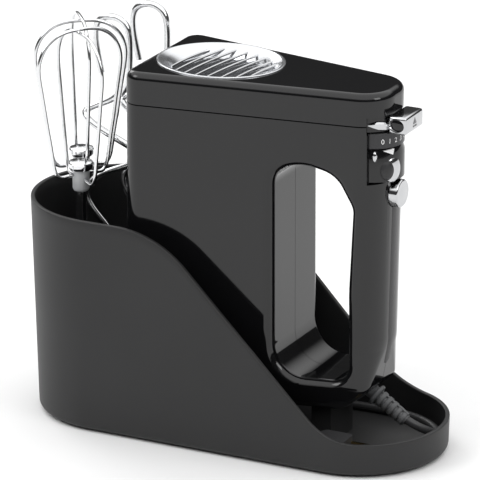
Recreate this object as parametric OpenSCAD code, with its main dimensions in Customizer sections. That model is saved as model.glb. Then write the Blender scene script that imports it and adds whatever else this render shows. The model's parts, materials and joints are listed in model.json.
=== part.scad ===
// Hand mixer standing on its heel in a storage caddy, with two beaters and two dough hooks.
// Origin: under the middle of the caddy, on the surface it stands on.
// +X runs from the tool end of the caddy to the handle end, +Z is up. All sizes are in mm.

/* [Caddy] */
// Length of the caddy at its foot
caddy_length = 246.5; // [240:0.5:256]
// Width of the caddy at its foot
caddy_width = 100; // [98:0.5:106]
// Height of the rim at the tool end
caddy_high_rim = 126.6; // [118:0.2:134]
// Height of the rim at the handle end
caddy_low_rim = 20; // [18:0.5:24]
// Wall thickness of the caddy
caddy_wall = 2.5; // [2:0.1:3]
// Height of the rubber feet below the caddy
foot_height = 1; // [1:0.1:1.6]

/* [Mixer] */
// Height of the mixer's underside above the table
mixer_bottom = 27; // [26:0.5:29]
// Height of the flat top of the nose cap
mixer_top = 213.4; // [211:0.2:216]
// Height of the seam between the housing and the nose cap
cap_seam = 195.1; // [194:0.1:196]
// Half width of the body at its beater face
face_half_width = 43.3; // [42:0.1:44]
// Wall thickness of the mouldings
shell_wall = 2.5; // [2:0.1:3]

/* [Drive] */
// Height of the beater spindles
spindle_height = 168; // [167:0.5:169]
// Distance of each spindle from the middle plane
spindle_offset = 17.5; // [17.5:0.1:17.5]
// Radius of the bore that takes a beater shaft
socket_radius = 3.05; // [3.02:0.01:3.08]
// Teeth on each worm wheel
wheel_teeth = 27; // [27:1:27]
// Starts on the worm
worm_starts = 2; // [2:1:2]

/* [Tools] */
// Diameter of the beater wires
wire_diameter = 2.2; // [2:0.1:2.4]
// Diameter of the dough hook rod
rod_diameter = 4; // [3.6:0.1:4.2]
// Radius of the shafts that fit the sockets
shaft_radius = 2.95; // [2.8:0.01:2.98]
// Height of the top of the beaters
beater_top = 226; // [222:0.5:228]

/* [Cord] */
// Diameter of the mains cord
cord_diameter = 4.8; // [4.6:0.1:5]
// Layers of cord in the stored coil
coil_layers = 2; // [2:1:2]

/* [Hidden] */

// Caddy
caddy_x = 1.5;
end_radius = caddy_width / 2;
end_spacing = caddy_length / 2 - end_radius;
tool_end_x = caddy_x - end_spacing;
handle_end_x = caddy_x + end_spacing;
caddy_draft = 0.0287;
floor_top = foot_height + 3;
rim_slope_start = -25.3;
rim_slope_end = 78.2;

// Mixer outline
face_x = -52.2;
handle_x = 99.3;
side_taper = 0.158;
side_at_origin = face_half_width + side_taper * face_x;
half_gap = 0.1;
opening = [[31, 53], [45, 40], [70, 41], [82.5, 52], [84, 148], [70, 167], [53, 172.5], [36, 165]];
opening_radii = [16, 14, 12, 12, 14, 16, 16, 12];
lip = 4.5;

// Drive
motor_x = -12;
worm_pitch_radius = 4;
wheel_pitch_radius = spindle_offset - worm_pitch_radius;
tooth_height = 0.8;
wheel_width = 6;
lead = worm_starts * PI * 2 * wheel_pitch_radius / wheel_teeth;
thread_turn = 360 / lead;

// Controls
dial_x = 82;
dial_z0 = 162;
dial_z1 = 181;
dial_rest = -42;
lever_x = 88;
lever_z = 196;
button_z = 153.2;

// Tools
front_axis = [-89.5, -20];
rear_axis = [-101, 2];
near_axis = [-92.6, 24];
far_axis = [-75, 36];
rack_top = 62;
rack_floor = 40;
// Top of the bar that joins the eject lever to the push rods, under the vent bezel
fork_top = 204.9;

// Cord route, from inside the strain relief to the coil and from the coil to the plug
relief_start = [85, 0, 33];
relief_end = [103.8, 0, 20.5];
coil_x = -8;
cord_low = floor_top + cord_diameter / 2 + 0.1;
coil_inner = 24.5;
coil_outer = 41.6;
lead_route = [
    [102, 0, 21.7], [107.7, 1.2, 18.4], [112.2, 4.8, 15.1], [114.9, 10, 11.8], [115.2, 15.8, 8.8],
    [112.7, 22.6, 7.1], [107, 30, 6.5], [98, 36.6, 6.5], [86, 41.2, 6.5], [70, 42.6, 6.5],
    [52, 42, 6.5], [30, 40, 6.5], [12, 39, 6.5], [-4, 39.2, 6.5]
];
tail_route = [
    [-12, -39.2, 11.5], [6, -39, 11.5], [22, -38, 11.3], [36, -36, 10.9], [50, -34, 10.6],
    [58, -33, 10.5]
];
plug_start = [57, -33, 10.5];

// ---- Outline helpers ----
function unit(v) = v / norm(v);
function outward(v) = [v[1], -v[0]];
function at(list, i) = list[(i + len(list)) % len(list)];

// An outline whose edges are moved outwards by d
function shifted(pts, d) = [
    for (i = [0 : len(pts) - 1])
        let (n1 = outward(unit(pts[i] - at(pts, i - 1))),
             n2 = outward(unit(at(pts, i + 1) - pts[i])),
             m = n1 + n2)
        pts[i] + d * m * 2 / (m * m)
];

// The arc that rounds corner b between a and c
function corner_arc(a, b, c, r, steps) =
    let (u = unit(a - b), v = unit(c - b), half = acos(u * v) / 2,
         centre = b + unit(u + v) * r / sin(half),
         p = b + u * r / tan(half) - centre,
         q = b + v * r / tan(half) - centre,
         a0 = atan2(p[1], p[0]),
         turn = (atan2(q[1], q[0]) - a0 + 540) % 360 - 180)
    [for (k = [0 : steps]) centre + r * [cos(a0 + turn * k / steps), sin(a0 + turn * k / steps)]];

function rounded(pts, radii, steps = 8) = [
    for (i = [0 : len(pts) - 1])
        for (p = corner_arc(at(pts, i - 1), pts[i], at(pts, i + 1), radii[i], steps)) p
];

function grown(pts, radii, d, steps = 8) =
    rounded(shifted(pts, d), [for (r = radii) max(r + d, 0.5)], steps);

function ellipse(rx, ry, n = 64) = [for (k = [0 : n - 1]) [rx * cos(360 * k / n), ry * sin(360 * k / n)]];

// ---- Curve helpers ----
// A smooth curve led by a list of points, starting and ending on the list's ends
function spline(p, n) =
    let (last = len(p) - 1,
         q = concat([2 * p[0] - p[1]], p, [2 * p[last] - p[last - 1]]))
    concat([for (i = [0 : last - 1], k = [0 : n - 1]) let (t = k / n)
        (pow(1 - t, 3) * q[i] + (3 * pow(t, 3) - 6 * t * t + 4) * q[i + 1]
        + (-3 * pow(t, 3) + 3 * t * t + 3 * t + 1) * q[i + 2] + pow(t, 3) * q[i + 3]) / 6],
        [p[last]]);

// A round rod along a list of points; ref is never parallel to the rod
module swept(p, r, sides, ref) {
    last = len(p) - 1;
    rings = [for (i = [0 : last])
        let (t = unit(p[min(i + 1, last)] - p[max(i - 1, 0)]),
             u = unit(cross(ref, t)), v = cross(t, u))
        for (j = [0 : sides - 1])
            p[i] + r * (cos(360 * j / sides) * u + sin(360 * j / sides) * v)];
    walls = [for (i = [0 : last - 1], j = [0 : sides - 1])
        let (a = i * sides + j, b = i * sides + (j + 1) % sides)
        for (f = [[a, a + sides, b + sides], [a, b + sides, b]]) f];
    ends = [[for (j = [0 : sides - 1]) j],
            [for (j = [sides - 1 : -1 : 0]) last * sides + j]];
    polyhedron(rings, concat(walls, ends));
}

module coil_spring(start, length, radius, wire, turns) {
    steps = 12;
    pts = [for (k = [0 : turns * steps])
        start + [length * k / (turns * steps),
                 radius * cos(360 * k / steps), radius * sin(360 * k / steps)]];
    swept(pts, wire / 2, 6, [1, 0, 0]);
}

module along_x(x0, x1, y, z, r) {
    translate([x0, y, z]) rotate([0, 90, 0]) cylinder(h = x1 - x0, r = r, $fn = 48);
}

module along_y(x, y0, y1, z, r) {
    translate([x, y0, z]) rotate([-90, 0, 0]) cylinder(h = y1 - y0, r = r, $fn = 48);
}

module block(x0, x1, y0, y1, z0, z1) {
    translate([x0, y0, z0]) cube([x1 - x0, y1 - y0, z1 - z0]);
}

// An outline in X and Z, extruded from y0 to y1
module side_shape(pts, y0, y1) {
    translate([0, y1, 0]) rotate([90, 0, 0]) linear_extrude(height = y1 - y0) polygon(pts);
}

// A ring segment about a vertical axis through dial_x
module dial_sector(r0, r1, a0, a1, z0, z1) {
    translate([dial_x, 0, z0]) rotate([0, 0, a0])
        rotate_extrude(angle = a1 - a0, $fn = 96) translate([r0, 0]) square([r1 - r0, z1 - z0]);
}

// ---- Caddy ----
// The caddy's tapered form, with its faces moved inwards by inset
module caddy_form(z0, z1, inset, foot_chamfer) {
    hull() {
        for (x = [tool_end_x, handle_end_x]) {
            translate([x, 0, z0])
                cylinder(h = 0.01, r = end_radius - inset - foot_chamfer, $fn = 80);
            translate([x, 0, z0 + foot_chamfer])
                cylinder(h = 0.01, r = end_radius - inset + caddy_draft * foot_chamfer, $fn = 80);
            translate([x, 0, z1])
                cylinder(h = 0.01, r = end_radius - inset + caddy_draft * (z1 - foot_height), $fn = 80);
        }
    }
}

// What is cut away above the rim: level, a rounded drop, then level again
rim_cut = rounded(
    [[-200, caddy_high_rim], [rim_slope_start, caddy_high_rim], [rim_slope_end, caddy_low_rim],
     [200, caddy_low_rim], [200, 300], [-200, 300]],
    [1, 60, 40, 1, 1, 1], 10);

module caddy_shell() {
    color("#1b1c1e")
    difference() {
        caddy_form(foot_height, caddy_high_rim + 4, 0, 3.5);
        caddy_form(floor_top, caddy_high_rim + 5, caddy_wall, 2.5);
        side_shape(rim_cut, -90, 90);
    }
}

module caddy_feet() {
    color("#2a2a2a")
    for (x = [-82, 85], y = [-30, 30])
        translate([x, y, 0]) cylinder(h = foot_height, r = 7, $fn = 48);
}

module tool_rack() {
    color("#18191a")
    difference() {
        union() {
            intersection() {
                translate([tool_end_x, 0, rack_top - 4]) cylinder(h = 4, r = 46.5, $fn = 96);
                block(-125, -59, -60, 60, rack_top - 4, rack_top);
            }
            for (p = [front_axis, rear_axis, near_axis, far_axis])
                translate([p[0], p[1], rack_floor - 2])
                    cylinder(h = rack_top - rack_floor, r = 5.6, $fn = 48);
            for (y = [-38, 38])
                block(-70, -66, y - 1.5, y + 1.5, floor_top, rack_top - 3);
            block(-116, -113, -12, 12, floor_top, rack_top - 3);
        }
        for (p = [front_axis, rear_axis, near_axis, far_axis])
            translate([p[0], p[1], rack_floor])
                cylinder(h = rack_top, r = shaft_radius + 0.3, $fn = 48);
    }
}

module cord_drum() {
    color("#202122")
    translate([coil_x, 0, floor_top])
        difference() {
            union() {
                cylinder(h = mixer_bottom - floor_top - 0.2, r = 21, $fn = 96);
                cylinder(h = 3, r = 23, $fn = 96);
            }
            translate([0, 0, -1]) cylinder(h = mixer_bottom - floor_top - 2, r = 18.5, $fn = 96);
        }
}

module heel_rest() {
    color("#202122")
    difference() {
        block(52, 64, -14, 14, floor_top, mixer_bottom - 0.2);
        block(54.5, 61.5, -11.5, 11.5, floor_top - 1, mixer_bottom - 3);
    }
}

// ---- Mixer housing ----
plan = [
    [face_x, -face_half_width], [handle_x, -face_half_width + side_taper * (handle_x - face_x)],
    [handle_x, face_half_width - side_taper * (handle_x - face_x)], [face_x, face_half_width]
];
plan_radii = [9, 13, 13, 9];
side = [
    [face_x, mixer_bottom], [72, mixer_bottom], [91.5, 42], [96.3, 66], [handle_x, mixer_top],
    [face_x, mixer_top]
];
side_radii = [9, 18, 9, 40, 4, 4];

module body_form(inset, z0, z1) {
    intersection() {
        side_shape(grown(side, side_radii, -inset), -60, 60);
        translate([0, 0, z0]) linear_extrude(height = z1 - z0)
            polygon(grown(plan, plan_radii, -inset));
    }
}

module relief_bore(r) {
    angle = atan2(relief_end[0] - relief_start[0], relief_end[2] - relief_start[2]);
    translate(relief_start) rotate([0, angle, 0])
        translate([0, 0, -20]) cylinder(h = 30, r = r, $fn = 48);
}

module housing() {
    difference() {
        body_form(0, 0, cap_seam - 0.2);
        difference() {
            body_form(shell_wall, 0, cap_seam + 5);
            side_shape(grown(opening, opening_radii, 2), -60, 60);
            dial_sector(12.7, 15.2, -90, 90, dial_z0 - 3.5, 191);
            block(dial_x, 120, -60, 60, dial_z0 - 3.5, dial_z0 - 1);
        }
        // The finger opening, with flared lips
        side_shape(grown(opening, opening_radii, -lip), -60, 60);
        for (s = [0, 1], k = [0 : 2])
            mirror([0, s, 0]) translate([0, side_at_origin - 5 + 1.6 * k, 0])
                rotate([0, 0, -atan(side_taper)])
                    side_shape(grown(opening, opening_radii, -lip + 1.3 * (k + 1)), 0, 60);
        // Beater holes, control recess, lever slot, button hole and strain relief hole
        for (s = [-1, 1])
            along_x(face_x - 5, face_x + 6, s * spindle_offset, spindle_height, 5.8);
        difference() {
            block(dial_x, 120, -60, 60, dial_z0 - 0.5, 191);
            dial_sector(-1, 15.2, -90, 90, dial_z0 - 2, 192);
        }
        block(dial_x + 2, 120, -60, 60, 190.8, 200);
        along_x(88, 120, 0, button_z, 8.3);
        relief_bore(4.3);
    }
}

module housing_left() {
    color("#0c0c0d")
    difference() {
        housing();
        block(-100, 150, -half_gap, 80, 0, 300);
        pad_recess();
    }
}

module housing_right() {
    color("#0c0c0d")
    difference() {
        housing();
        block(-100, 150, -80, half_gap, 0, 300);
        pad_recess();
    }
}

module nose_cap() {
    color("#101011")
    difference() {
        union() {
            body_form(0, cap_seam + 0.2, mixer_top - 4);
            body_form(1.3, mixer_top - 4.1, mixer_top - 1.6);
            body_form(3.4, mixer_top - 1.7, mixer_top);
        }
        intersection() {
            body_form(shell_wall, 0, cap_seam + 13);
            block(-100, 200, -80, 80, 0, mixer_top - 5);
        }
        translate([-10.5, 0, mixer_top - 9]) linear_extrude(height = 20) polygon(ellipse(36.5, 31.8));
        block(dial_x + 2, 120, -60, 60, 190, 201.8);
    }
    // Lugs that hold the lever's pin
    color("#101011")
    for (s = [-1, 1]) difference() {
        block(lever_x - 2.6, lever_x + 2.6, s > 0 ? 12.8 : -15.2, s > 0 ? 15.2 : -12.8, 193, 208.6);
        along_y(lever_x, -20, 20, lever_z, 1.5);
    }
}

module vent_bezel() {
    color("#d8d9db")
    translate([-10.5, 0, 0])
    difference() {
        translate([0, 0, mixer_top - 8]) linear_extrude(height = 8.4) polygon(ellipse(36.3, 31.6));
        for (k = [0 : 3])
            translate([0, 0, mixer_top - 6 + 1.6 * k]) linear_extrude(height = 20)
                polygon(ellipse(31 + 1.2 * k, 26.3 + 1.2 * k));
        translate([0, 0, mixer_top - 9]) linear_extrude(height = 20) polygon(ellipse(29.6, 24.9));
    }
}

module vent_grille() {
    color("#c9cacc")
    difference() {
        translate([-10.5, 0, mixer_top - 8]) linear_extrude(height = 1.6) polygon(ellipse(29.4, 24.7));
        for (k = [0 : 7])
            translate([-66 + 6.4 * k, 22, mixer_top - 9]) rotate([0, 0, -62])
                rotate_extrude(angle = 78, $fn = 128) translate([34, 0]) square([3.6, 4]);
    }
}

// The soft strip let into the outer face of the handle
module pad_outline(grow) {
    translate([0, 0, -200]) intersection() {
        translate([0, 0, 200]) side_shape([[92, 60], [110, 60], [110, 143.5], [92, 143.5]], -60, 60);
        translate([0, 0, 200]) union() {
            block(80, 110, -10.5 - grow, 10.5 + grow, 68 - grow, 142.5 + grow);
            along_x(80, 110, 0, 68, 10.5 + grow);
        }
    }
}

module pad_recess() {
    intersection() {
        translate([0, 0, 0]) pad_outline(0.2);
        difference() {
            block(90, 120, -20, 20, 50, 150);
            body_form(1.4, 0, 300);
        }
    }
}

module grip_cover() {
    color("#2b2c2e")
    intersection() {
        pad_outline(0);
        difference() {
            body_form(-0.4, 0, 300);
            body_form(1.2, 0, 300);
        }
    }
}

// ---- Controls ----
module speed_scale() {
    color("#3a3b3d") dial_sector(15.4, 17.6, -62, 62, 181.6, 190.4);
}

module selector_dial() {
    color("#141415") {
        dial_sector(15.4, 17.8, dial_rest - 30, dial_rest + 30, dial_z0, dial_z1);
        dial_sector(17.7, 19.4, dial_rest - 13, dial_rest + 13, dial_z0 + 1, dial_z1 - 2);
    }
}

module selector_trim() {
    color("#dcdde0")
    for (s = [-1, 1])
        dial_sector(17.9, 19.3, dial_rest + s * 31 - 5, dial_rest + s * 31 + 5, dial_z0 + 0.5, dial_z1 - 3);
}

module speed_switch() {
    color("#3c3a36") {
        block(70, 80, -9, 9, 174, 188);
        block(80, dial_x + 8, -6, 6, 176, 186);
    }
}

module circuit_board() {
    color("#2f6b3a") block(30, 66, -15, 15, 179, 180.6);
    color("#303030") {
        block(36, 44, -10, -2, 180.7, 190);
        block(50, 60, -2, 10, 180.7, 188);
    }
}

module turbo_button() {
    color("#dfe0e3") {
        along_x(92.6, 102.4, 0, button_z, 8);
        translate([102.3, 0, button_z]) rotate([0, 90, 0]) cylinder(h = 0.9, r1 = 8, r2 = 7.1, $fn = 48);
        translate([103.1, 0, button_z]) rotate([0, 90, 0]) cylinder(h = 0.6, r1 = 7.1, r2 = 4, $fn = 48);
        along_x(89.6, 92.7, 0, button_z, 2);
    }
}

module turbo_spring() {
    color("#9a9a9a") coil_spring([86.6, 0, button_z], 5.4, 3.4, 0.8, 3);
}

module eject_lever() {
    tongue = rounded(
        [[lever_x, -20.4], [99.6, -18.4], [100.6, -12], [107.4, -11], [107.4, 11], [100.6, 12],
         [99.6, 18.4], [lever_x, 20.4]],
        [0.6, 3, 0.6, 3, 3, 0.6, 3, 0.6], 5);
    tab_side = rounded(
        [[lever_x, 191.8], [100, 191.6], [105, 190], [107.4, 192.5], [107.4, 200.4], [102, 200.6],
         [100.8, 199.6], [lever_x, 199.6]],
        [0.4, 3, 2, 1.5, 2, 0.6, 0.6, 0.4], 5);
    color("#d9dadd")
    difference() {
        union() {
            intersection() {
                side_shape(tab_side, -40, 40);
                translate([0, 0, 180]) linear_extrude(height = 40) polygon(tongue);
            }
            along_y(lever_x, -12, 12, lever_z, 3.4);
            block(lever_x - 1.5, lever_x + 1.5, -3, 3, lever_z, 207.6);
        }
        // Hollow behind the trim, and the pivot bore
        block(lever_x - 5, 97.6, -18, -12.2, 180, 210);
        block(lever_x - 5, 97.6, 12.2, 18, 180, 210);
        along_y(lever_x, -30, 30, lever_z, 1.56);
    }
}

module lever_pin() {
    color("#8d9094") along_y(lever_x, -15, 15, lever_z, 1.5);
}

module eject_fork() {
    color("#d6d0c0") {
        for (s = [-1, 1]) along_x(-15.9, 21, s * spindle_offset, spindle_height, 1.5);
        block(20, 23, -21, 21, spindle_height - 4, spindle_height + 4);
        block(20, 23, -3, 3, spindle_height + 3.9, fork_top);
        block(22.9, lever_x - 1.8, -3, 3, fork_top - 2.5, fork_top);
    }
}

module eject_spring() {
    color("#9a9a9a") coil_spring([8.7, 0, spindle_height - 1], 10.6, 3, 0.8, 6);
}

// ---- Motor and gears ----
module motor_shaft() {
    color("#a9abb0") translate([motor_x, 0, 47]) cylinder(h = 140, r = 2.5, $fn = 48);
}

// Two-start worm; its thread stands on the middle plane at spindle height
module worm() {
    length = 18;
    color("#b9b3a0")
    difference() {
        translate([motor_x, 0, spindle_height - length / 2]) rotate([0, 0, 90 - thread_turn * length / 2])
            linear_extrude(height = length, twist = -thread_turn * length, $fn = 48, slices = 36)
                union() {
                    circle(r = worm_pitch_radius - tooth_height);
                    for (k = [0 : worm_starts - 1]) rotate(360 * k / worm_starts)
                        polygon([[0, -2.2], [worm_pitch_radius + tooth_height, -1.0],
                                 [worm_pitch_radius + tooth_height, 1.0], [0, 2.2]]);
                }
        translate([motor_x, 0, 100]) cylinder(h = 150, r = 2.5, $fn = 48);
    }
}

// A worm wheel with a tooth gap facing the worm
module worm_wheel(s) {
    twist_per_mm = 360 / (2 * PI * wheel_pitch_radius) * lead / (2 * PI * worm_pitch_radius);
    step = 360 / wheel_teeth;
    root = wheel_pitch_radius - tooth_height - 0.5;
    tip = wheel_pitch_radius + tooth_height - 0.1;
    color("#e6e2d6")
    difference() {
        translate([motor_x - wheel_width / 2, s * spindle_offset, spindle_height])
            rotate([0, 90, 0]) rotate([0, 0, s > 0 ? -90 : 90])
                rotate([0, 0, -twist_per_mm * wheel_width / 2])
                    linear_extrude(height = wheel_width, twist = -twist_per_mm * wheel_width, slices = 4)
                        union() {
                            circle(r = root, $fn = 54);
                            for (k = [0 : wheel_teeth - 1]) rotate(step * (k + 0.5))
                                polygon([[root - 1, -0.95], [tip, -0.38], [tip, 0.38], [root - 1, 0.95]]);
                        }
        along_x(motor_x - 10, motor_x + 10, s * spindle_offset, spindle_height, 5);
    }
}

module spindle(s) {
    color("#a9abb0")
    difference() {
        along_x(face_x + 2, 10, s * spindle_offset, spindle_height, 5);
        along_x(face_x - 5, face_x + 36, s * spindle_offset, spindle_height, socket_radius);
        along_x(face_x, 20, s * spindle_offset, spindle_height, 1.8);
    }
}

module worm_wheel_left() { worm_wheel(-1); }
module worm_wheel_right() { worm_wheel(1); }
module spindle_left() { spindle(-1); }
module spindle_right() { spindle(1); }

module gear_case() {
    color("#d2cdbf")
    difference() {
        union() {
            block(-41, 8, -31, 31, 146, 149);
            block(-41, -38, -31, 31, 148.9, 186);
            block(5, 8, -31, 31, 148.9, 186);
            translate([motor_x, 0, 138]) cylinder(h = 8.1, r = 9, $fn = 48);
        }
        for (s = [-1, 1]) along_x(-60, 9, s * spindle_offset, spindle_height, 5.05);
        translate([motor_x, 0, 130]) cylinder(h = 30, r = 6, $fn = 48);
    }
}

module gear_cover() {
    color("#d2cdbf")
    difference() {
        union() {
            block(-41, 8, -31, 31, 186.2, 188.4);
            translate([motor_x, 0, 180]) cylinder(h = 7, r = 6, $fn = 48);
        }
        translate([motor_x, 0, 170]) cylinder(h = 17.3, r = 2.55, $fn = 48);
    }
}

module gear_screws() {
    color("#b8bbc0")
    for (x = [-39.5, 6.5], y = [-27, 27])
        translate([x, y, 188.4]) cylinder(h = 1.8, r = 2.4, $fn = 32);
}

module shaft_bearings() {
    color("#b08a4a")
    for (z = [50, 139])
        translate([motor_x, 0, z])
            difference() {
                cylinder(h = 5, r = z > 100 ? 6 : 5, $fn = 48);
                translate([0, 0, -1]) cylinder(h = 7, r = 2.55, $fn = 48);
            }
}

module field_core() {
    color("#7d8085")
    translate([motor_x, 0, 84])
        difference() {
            linear_extrude(height = 24)
                polygon(rounded([[-24, -22], [24, -22], [24, 22], [-24, 22]], [5, 5, 5, 5]));
            translate([0, 0, -1]) cylinder(h = 26, r = 13.4, $fn = 64);
            for (s = [-1, 1])
                translate([0, s * 15, -1]) linear_extrude(height = 26)
                    polygon([[-12, -3.2], [12, -3.2], [12, 3.2], [-12, 3.2]]);
        }
}

module field_coils() {
    color("#b5652c")
    for (s = [-1, 1], z = [79, 108.1])
        translate([motor_x, s * 15.4, z]) linear_extrude(height = 4.9)
            polygon(rounded([[-15, -2.6], [15, -2.6], [15, 2.6], [-15, 2.6]], [2, 2, 2, 2]));
}

module armature_core() {
    color("#6f7277")
    translate([motor_x, 0, 84]) difference() {
        cylinder(h = 24, r = 12.6, $fn = 64);
        translate([0, 0, -1]) cylinder(h = 26, r = 2.5, $fn = 48);
    }
}

module armature_windings() {
    color("#b5652c")
    for (z = [77.5, 108])
        translate([motor_x, 0, z]) difference() {
            cylinder(h = 6.5, r = 10.5, $fn = 64);
            translate([0, 0, -1]) cylinder(h = 9, r = 2.5, $fn = 48);
        }
}

module commutator() {
    color("#b87333")
    translate([motor_x, 0, 62]) difference() {
        cylinder(h = 12, r = 8, $fn = 64);
        translate([0, 0, -1]) cylinder(h = 14, r = 2.5, $fn = 48);
    }
}

module fan() {
    color("#e9e6dc")
    translate([motor_x, 0, 120]) difference() {
        union() {
            cylinder(h = 1.6, r = 20, $fn = 96);
            cylinder(h = 11, r = 5, $fn = 48);
            for (k = [0 : 9]) rotate([0, 0, 36 * k])
                translate([4.5, -0.7, 1.5]) cube([15, 1.4, 9]);
        }
        translate([0, 0, -1]) cylinder(h = 14, r = 2.5, $fn = 48);
    }
}

module brush_holders() {
    color("#5a4632")
    for (s = [-1, 1])
        difference() {
            block(motor_x - 5, motor_x + 5, s > 0 ? 9.4 : -22, s > 0 ? 22 : -9.4, 63, 73);
            block(motor_x - 2.6, motor_x + 2.6, s > 0 ? 8 : -20, s > 0 ? 20 : -8, 65, 71);
        }
}

module brushes() {
    color("#3b3b3b")
    for (s = [-1, 1])
        block(motor_x - 2.5, motor_x + 2.5, s > 0 ? 8.05 : -17, s > 0 ? 17 : -8.05, 65.1, 70.9);
}

module housing_screws() {
    color("#b8bbc0")
    for (p = [[-40, 40], [20, 34], [-40, 130], [75, 36]])
        along_y(p[0], 6, 14, p[1], 1.8);
}

// ---- Cord ----
module strain_relief() {
    axis = relief_end - relief_start;
    angle = atan2(axis[0], axis[2]);
    color("#3f4144")
    translate(relief_start) rotate([0, angle, 0])
        difference() {
            union() {
                translate([0, 0, -8]) cylinder(h = norm(axis) + 8, r1 = 4.2, r2 = 3.6, $fn = 48);
                cylinder(h = 1.8, r = 6.3, $fn = 48);
                for (k = [0 : 4])
                    translate([0, 0, 4.4 + 3.9 * k]) cylinder(h = 2.6, r = 4.5 - 0.1 * k, $fn = 48);
            }
            translate([0, 0, -20]) cylinder(h = 60, r = cord_diameter / 2, $fn = 48);
        }
}

module cord_clamp() {
    color("#3a3a3a") block(60, 68, -8, 8, 30.2, 35);
}

module cord_tube() {
    color("#1d1d1f") {
        swept(spline(lead_route, 3), cord_diameter / 2, 8, [0, 0, 1]);
        swept(spline(tail_route, 3), cord_diameter / 2, 8, [0, 0, 1]);
    }
}

module cord_coil() {
    height = cord_diameter * coil_layers;
    color("#1d1d1f")
    translate([coil_x, 0, floor_top]) rotate_extrude($fn = 96)
        polygon([for (p = rounded(
            [[coil_inner, 0.1], [coil_outer, 0.1], [coil_outer, height], [coil_inner, height]],
            [2, 2, 2, 2], 4)) p]);
}

module plug_body() {
    color("#1d1d1f")
    translate([plug_start[0], plug_start[1], floor_top + 0.2]) linear_extrude(height = 12.5)
        polygon(rounded([[0, -3.2], [7, -4.5], [9, -9.5], [26, -9.5], [26, 9.5], [9, 9.5], [7, 4.5],
            [0, 3.2]], [1.5, 2, 3, 3, 3, 3, 2, 1.5], 4));
}

module plug_blades() {
    color("#c8b26a")
    for (s = [-1, 1])
        block(plug_start[0] + 26, plug_start[0] + 42, plug_start[1] + s * 6.3 - 0.75,
            plug_start[1] + s * 6.3 + 0.75, floor_top + 3.2, floor_top + 9.6);
}

// ---- Tools ----
// Half of a beater loop: distance from the axis, and height below its top
loop_half = [
    [3, -84], [8, -84.5], [14, -85.5], [17, -80], [18, -70], [21, -54], [23.5, -37], [25.5, -26],
    [26.5, -17], [22, -6.5], [12, 0], [0, 0.2]
];

module beater_wires(axis, top, azimuth) {
    color("#cfd2d6")
    for (k = [0, 1]) {
        d = [cos(azimuth + 90 * k), sin(azimuth + 90 * k), 0];
        half = [for (p = loop_half) [0, 0, p[1]] + p[0] * d];
        other = [for (i = [len(loop_half) - 2 : -1 : 0]) [0, 0, loop_half[i][1]] - loop_half[i][0] * d];
        translate([axis[0], axis[1], top - 2.4 * k])
            swept(spline(concat(half, other), 3), wire_diameter / 2, 8, cross(d, [0, 0, 1]));
    }
}

module beater_collar(axis, top) {
    color("#c4c6c8")
    translate([axis[0], axis[1], top - 92.5]) difference() {
        union() {
            cylinder(h = 11, r = 4.8, $fn = 48);
            translate([0, 0, -1.2]) cylinder(h = 1.3, r1 = 4, r2 = 4.8, $fn = 48);
        }
        translate([0, 0, -5]) cylinder(h = 20, r = shaft_radius, $fn = 48);
    }
}

module beater_shaft(axis, top) {
    color("#cfd2d6")
    translate([axis[0], axis[1], 0]) {
        translate([0, 0, rack_floor + 0.2]) cylinder(h = top - 81.6 - rack_floor, r = shaft_radius, $fn = 48);
        translate([0, 0, top - 81.5]) cylinder(h = 1.8, r1 = 6, r2 = 7, $fn = 64);
        translate([0, 0, top - 79.8]) cylinder(h = 2.6, r1 = 7, r2 = 4.5, $fn = 64);
    }
}

module beater_front_wires() { beater_wires(front_axis, beater_top, 56.5); }
module beater_front_collar() { beater_collar(front_axis, beater_top); }
module beater_front_shaft() { beater_shaft(front_axis, beater_top); }
module beater_rear_wires() { beater_wires(rear_axis, beater_top, 129.3); }
module beater_rear_collar() { beater_collar(rear_axis, beater_top); }
module beater_rear_shaft() { beater_shaft(rear_axis, beater_top); }

// A dough hook: sideways and crosswise distance from its axis, and height below its top
hook_route = [
    [-7, 0, -33], [-9, 0, -24], [-11, 0, -12], [-10, 0, -2], [0, 0, 2], [10, 0, -2], [11.5, 0, -13],
    [11, 0, -28], [9, 2, -42], [-4, 4, -51], [-24, 0, -58], [-6, -4, -66], [10, -3, -72],
    [21, 0, -80], [8, 4, -88], [-9, 4, -94], [-20, 0, -103], [-14, -2, -114], [-4, 0, -124],
    [0, 0, -132], [0, 0, -142]
];

module hook_rod(axis, top, azimuth) {
    d = [cos(azimuth), sin(azimuth), 0];
    w = [-sin(azimuth), cos(azimuth), 0];
    color("#cfd2d6")
    translate([axis[0], axis[1], top])
        swept(spline([for (p = hook_route) p[0] * d + p[1] * w + [0, 0, p[2]]], 3),
            rod_diameter / 2, 8, w + [0.01, 0.02, 0]);
}

module hook_shaft(axis, top) {
    color("#cfd2d6")
    translate([axis[0], axis[1], 0]) {
        translate([0, 0, rack_floor + 0.2]) cylinder(h = top - 140 - rack_floor, r = shaft_radius, $fn = 48);
        translate([0, 0, top - 143]) cylinder(h = 5, r = 4.4, $fn = 48);
    }
}

module hook_near_rod() { hook_rod(near_axis, 220.4, 0); }
module hook_near_shaft() { hook_shaft(near_axis, 220.4); }
module hook_far_rod() { hook_rod(far_axis, 227, 0); }
module hook_far_shaft() { hook_shaft(far_axis, 227); }

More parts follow.
